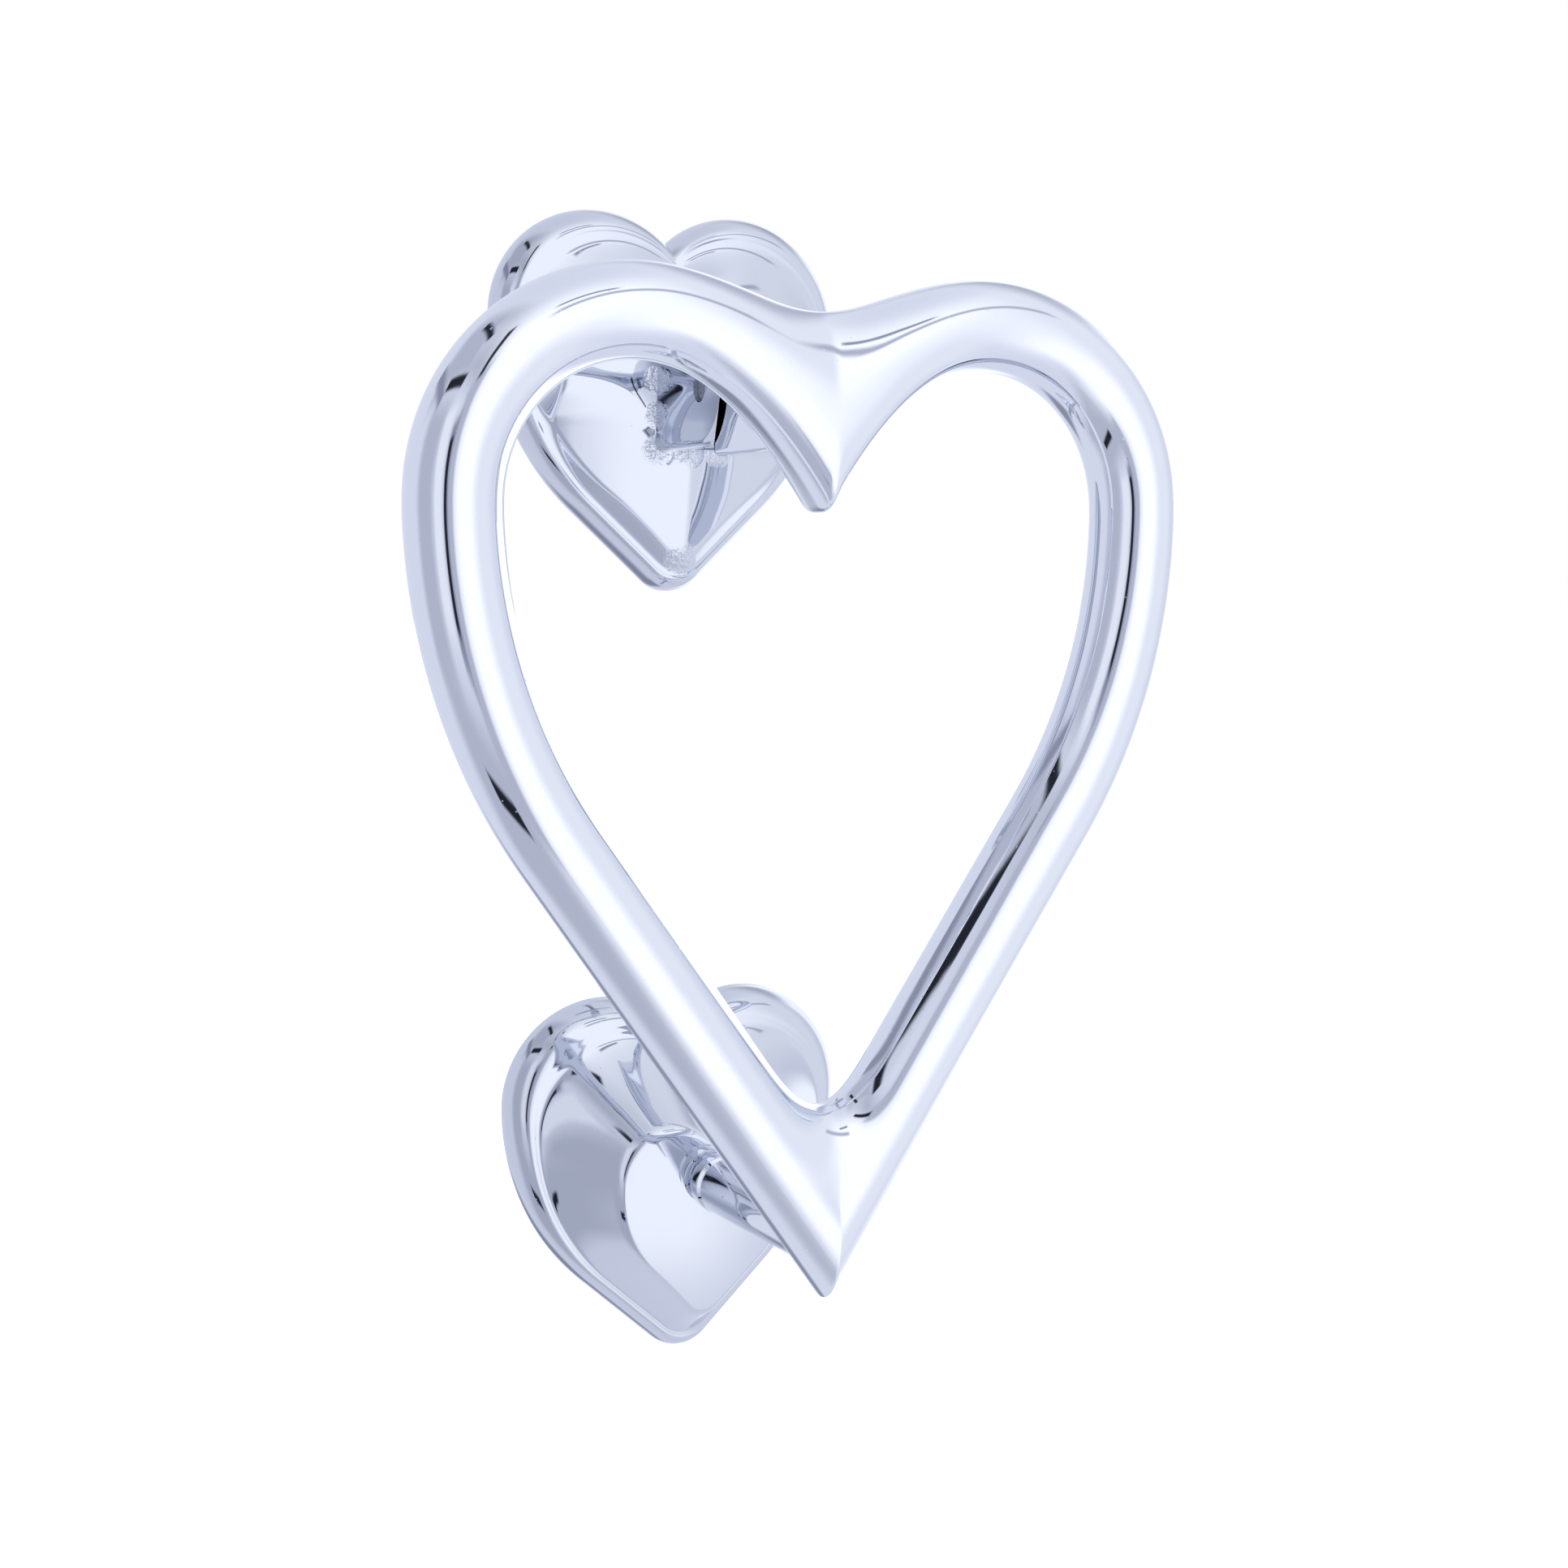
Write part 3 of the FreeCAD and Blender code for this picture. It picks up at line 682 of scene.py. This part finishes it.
UPPER_BOSS = {"foot": 0.884, "top": 0.62, "crown": 10.6, "crown_z": 0.0, "cove": 1.3, "crease": 0.9,
              "foot_fillet": 0.5, "keel": 0.13}
LOWER_BOSS = {"foot": 0.86, "top": 0.49, "crown": 17.1, "crown_z": 8.0, "cove": 1.25, "crease": 1.0,
              "foot_fillet": 0.5, "keel": 0.0}


def build_ring():
    """The rod with its neck, on the body that swings."""
    rod = make_object("ring_rod", ring_mesh(), "striker",
                      MATERIALS["ring_chrome"], 50)
    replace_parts(rod, "heart_ring")
    for mesh in neck_meshes():
        make_object(mesh.name, mesh, "striker", MATERIALS["ring_chrome"])


def build_bases():
    """Both heart castings and the upper one's fork."""
    for which, boss, centre_z in (("upper", UPPER_BOSS, 0.0), ("lower", LOWER_BOSS, LOWER_Z)):
        mesh = casting_mesh(f"{which}_casting", boss, centre_z)
        piece = make_object(mesh.name, mesh, "bases", MATERIALS["base_chrome"], 50)
        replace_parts(piece, f"{which}_base")
    make_object("hinge_fork", fork_mesh(), "bases", MATERIALS["base_chrome"])


def build_small_pieces():
    """The strike stud, the hinge pin, and a bolt, a nut and a washer for each base."""
    stud = make_object("stud_turned", stud_mesh(), "striker",
                       MATERIALS["stud_chrome"])
    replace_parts(stud, "strike_stud")
    corners = [(0, -PIN_HALF), (PIN_R, -PIN_HALF), (PIN_R, PIN_HALF), (0, PIN_HALF)]
    mesh = turned_mesh("pin_turned", corners, [0, 0.4, 0.4, 0], axis="x", centre_y=HINGE_Y)
    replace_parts(make_object("pin_turned", mesh, "bases", MATERIALS["pin_steel"]),
                "hinge_pin")
    kinds = (("bolt", bolt_mesh, "bolt_steel"), ("nut", nut_mesh, "nut_chrome"),
             ("washer", washer_mesh, "washer_steel"))
    for which, centre_z in (("upper", 0.0), ("lower", LOWER_Z)):
        for kind, build, slot in kinds:
            mesh = build(f"{which}_{kind}_detail", centre_z)
            piece = make_object(mesh.name, mesh, "bases", MATERIALS[slot], 30)
            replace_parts(piece, f"{which}_{kind}")


# ---------------------------------------------------------------- stage, light and camera

FLOOR_HALF, FLOOR_DROP = 6.0, 0.06       # metres: its half width, and how far below the knocker
FLOOR_GLOW = (0.12, 1.0)                 # its own light near the origin and far from it
FLOOR_GLOW_REACH = (0.1, 1.5)            # metres: where those two hold


def build_floor():
    """A wide pale floor a little below the knocker, left out of mirror reflections."""
    low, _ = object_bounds()
    mesh = bpy.data.meshes.new("floor")
    half, height = FLOOR_HALF, low[2] - FLOOR_DROP
    mesh.from_pydata([(-half, -half, height), (half, -half, height), (half, half, height),
                      (-half, half, height)], [], [(0, 1, 2, 3)])
    floor = bpy.data.objects.new("floor", mesh)
    bpy.context.scene.collection.objects.link(floor)
    pale = Nodes("pale_floor")
    pale.shader.inputs["Base Color"].default_value = (0.93, 0.93, 0.94, 1)
    pale.shader.inputs["Roughness"].default_value = 0.8
    away = pale.add("ShaderNodeVectorMath", operation="LENGTH")
    pale.link(pale.place(), away.inputs[0])
    glow = pale.ranged(away.outputs["Value"], *FLOOR_GLOW, *FLOOR_GLOW_REACH)
    pale.shader.inputs["Emission Color"].default_value = (1, 1, 1, 1)
    pale.link(glow, pale.shader.inputs["Emission Strength"])
    mesh.materials.append(pale.material)
    floor.visible_glossy = False
    floor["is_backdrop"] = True


def aim(yaw_deg, height_deg):
    """A unit direction: yaw from -Y towards -X, and height above the horizon."""
    yaw, height = math.radians(yaw_deg), math.radians(height_deg)
    flat = math.cos(height)
    return Vector((-math.sin(yaw) * flat, -math.cos(yaw) * flat, math.sin(height)))


TENT_COLOUR = (0.78, 0.81, 0.93)
WHITE = (1.24, 1.26, 1.32)
PALE = (0.92, 0.95, 1.03)
MAUVE = (0.52, 0.55, 0.66)
GREY = (0.30, 0.32, 0.42)
DARK = (0.018, 0.020, 0.030)
# Each panel: colour, then degrees: yaw from the front to the left, height, half width and
# height, softness.
TENT_PANELS = [
    (MAUVE, 84, 5, 19, 30, 8),
    (MAUVE, 75, 58, 42, 15, 6),
    (MAUVE, 50, -46, 44, 22, 8),
    (MAUVE, -100, 48, 34, 10, 8),
    (GREY, 176, -36, 10, 12, 5),
    (PALE, -40, 16, 34, 56, 12),
    (WHITE, -8, 2, 22, 50, 12),
    (WHITE, -122, 0, 26, 32, 6),
    (MAUVE, -30, 38, 20, 2.5, 2),
    (GREY, -12, 46, 7, 1.6, 1.2),
    (PALE, 52, 8, 8, 22, 3),
    (MAUVE, 25, 0, 7, 34, 3),
    (GREY, 34, 3, 5, 20, 3),
    (DARK, 35, 3, 3.0, 15, 1.0),
    (DARK, 62, -39, 13, 2.6, 1.2),
    (DARK, 26, 42, 2.2, 10, 1.0),
    (DARK, 76, 42, 15, 2.4, 1.0),
    (GREY, 118, 37, 18, 3, 2),
    (DARK, 96, 62, 16, 1.6, 1.0),
]
MIX_A, MIX_B, MIX_RESULT = 6, 7, 2       # the colour sockets of a Mix node


def build_world():
    """A light tent: pale blue-white all round, with soft panels and a few dark gaps."""
    world = bpy.data.worlds.new("light_tent")
    bpy.context.scene.world = world
    world.use_nodes = True
    tree = world.node_tree
    tree.nodes.clear()

    def add(kind, **settings):
        node = tree.nodes.new(kind)
        for key, value in settings.items():
            setattr(node, key, value)
        return node

    direction = add("ShaderNodeTexCoord").outputs["Generated"]

    def dot(vector):
        node = add("ShaderNodeVectorMath", operation="DOT_PRODUCT")
        tree.links.new(direction, node.inputs[0])
        node.inputs[1].default_value = vector
        return node.outputs["Value"]

    def fade(value, near, far):
        """1 below near, 0 above far."""
        node = add("ShaderNodeMapRange", interpolation_type="SMOOTHSTEP")
        tree.links.new(value, node.inputs["Value"])
        settings = {"From Min": near, "From Max": far, "To Min": 1.0, "To Max": 0.0}
        for key, setting in settings.items():
            node.inputs[key].default_value = setting
        return node.outputs["Result"]

    def panel(yaw, height, half_wide, half_high, soft):
        """A soft-edged rectangle of the tent, seen as a share from 0 to 1."""
        towards = aim(yaw, height)
        across = towards.cross(Vector((0, 0, 1))).normalized()
        upward = across.cross(towards)
        share = None
        for axis, half in ((across, half_wide), (upward, half_high)):
            size = math.sin(math.radians(half))
            spread = math.sin(math.radians(soft))
            sideways = math_node(tree, "ABSOLUTE", dot(axis))
            edge = fade(sideways, max(size - spread, 0.0), size + spread)
            share = edge if share is None else math_node(tree, "MULTIPLY", share, edge)
        facing = fade(math_node(tree, "MULTIPLY", dot(towards), -1.0), -0.05, 0.0)
        return math_node(tree, "MULTIPLY", share, facing)

    colour = add("ShaderNodeRGB")
    colour.outputs[0].default_value = (*TENT_COLOUR, 1)
    current = colour.outputs[0]
    for paint, *shape in TENT_PANELS:
        mix = add("ShaderNodeMix", data_type="RGBA")
        tree.links.new(panel(*shape), mix.inputs["Factor"])
        tree.links.new(current, mix.inputs[MIX_A])
        mix.inputs[MIX_B].default_value = (*paint, 1)
        current = mix.outputs[MIX_RESULT]
    tent = add("ShaderNodeBackground")
    tree.links.new(current, tent.inputs["Color"])
    backdrop = add("ShaderNodeBackground")
    backdrop.inputs["Color"].default_value = (1, 1, 1, 1)
    pick = add("ShaderNodeMixShader")
    tree.links.new(add("ShaderNodeLightPath").outputs["Is Camera Ray"], pick.inputs["Fac"])
    tree.links.new(tent.outputs[0], pick.inputs[1])
    tree.links.new(backdrop.outputs[0], pick.inputs[2])
    tree.links.new(pick.outputs[0], add("ShaderNodeOutputWorld").inputs["Surface"])


KEY_SIZE, KEY_POWER = 0.7, 9.0           # metres and watts
KEY_X, KEY_Y, KEY_ABOVE = 0.55, -0.75, 0.75
KEY_TARGET = (0, -0.02, -0.06)


def build_lights():
    """One large soft source from the upper right and front, left out of mirror reflections."""
    _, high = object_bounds()
    data = bpy.data.lights.new("soft_key", "AREA")
    data.shape, data.size, data.energy = "DISK", KEY_SIZE, KEY_POWER
    data.color = (0.96, 0.98, 1.0)
    key = bpy.data.objects.new("soft_key", data)
    bpy.context.scene.collection.objects.link(key)
    key.location = (KEY_X, KEY_Y, high[2] + KEY_ABOVE)
    key.visible_glossy = False
    towards = Vector(KEY_TARGET) - key.location
    key.rotation_euler = towards.to_track_quat("-Z", "Y").to_euler()


CAMERA_PLACE = (-0.1292, -0.3048, -0.0236)
CAMERA_YAW, CAMERA_PITCH, CAMERA_ROLL = 26.06, 5.77, -0.25     # degrees
CAMERA_SENSOR, CAMERA_LENS = 36.0, 50.76                       # millimetres


def build_camera():
    """The viewpoint: from the left and looking slightly down, about 0.33 m away."""
    yaw, pitch, roll = (math.radians(angle) for angle in (CAMERA_YAW, CAMERA_PITCH, CAMERA_ROLL))
    flat = math.cos(pitch)
    forward = Vector((math.sin(yaw) * flat, math.cos(yaw) * flat, -math.sin(pitch)))
    level = Vector((math.cos(yaw), -math.sin(yaw), 0))
    above = level.cross(forward)
    right = level * math.cos(roll) + above * math.sin(roll)
    upward = above * math.cos(roll) - level * math.sin(roll)
    data = bpy.data.cameras.new("camera")
    data.sensor_width, data.lens = CAMERA_SENSOR, CAMERA_LENS
    data.clip_start, data.clip_end = 0.01, 20
    camera = bpy.data.objects.new("camera", data)
    bpy.context.scene.collection.objects.link(camera)
    turn = Matrix((right, upward, -forward)).transposed()
    camera.matrix_world = Matrix.Translation(Vector(CAMERA_PLACE)) @ turn.to_4x4()
    bpy.context.scene.camera = camera


build_ring()
build_bases()
build_small_pieces()
build_floor()
build_world()
build_lights()
build_camera()
bpy.context.scene.view_settings.view_transform = "Standard"
